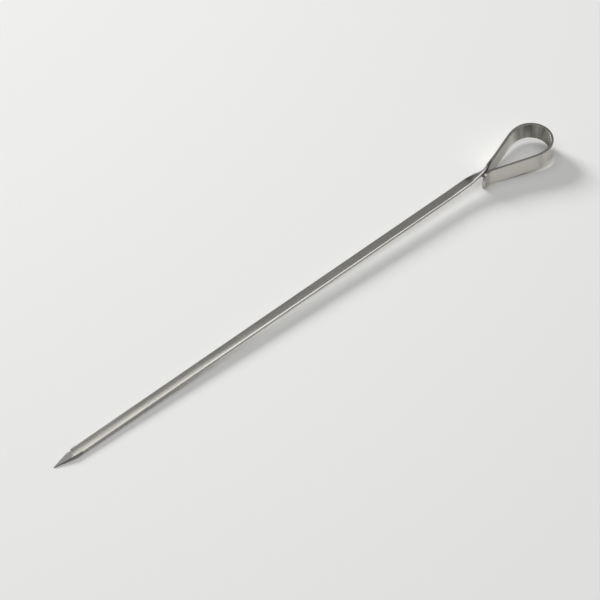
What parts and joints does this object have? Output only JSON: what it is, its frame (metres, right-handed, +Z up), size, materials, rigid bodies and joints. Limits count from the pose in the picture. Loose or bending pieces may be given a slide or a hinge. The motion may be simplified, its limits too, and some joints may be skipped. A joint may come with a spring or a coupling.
{
  "type": "metal kebab skewer",
  "caption": "Long flat metal skewer with a ground point, its strip turned on edge at the neck and bent round into an open teardrop loop handle.",
  "frame": {"origin": "middle of the part's box in plan, at the height of the table it rests on", "axes": "+X runs along the blade from the point to the loop, +Y to the left of that as seen from above, away from the loop's free end, +Z up from the table"},
  "size_m": [0.3522, 0.0256, 0.013],
  "materials": {
    "skewer_steel": "satin stainless steel, drawn along the strip, with fine scratches and brighter worn edges"
  },
  "bodies": {
    "root": {"skewer": "skewer_steel"}
  },
  "joints": []
}
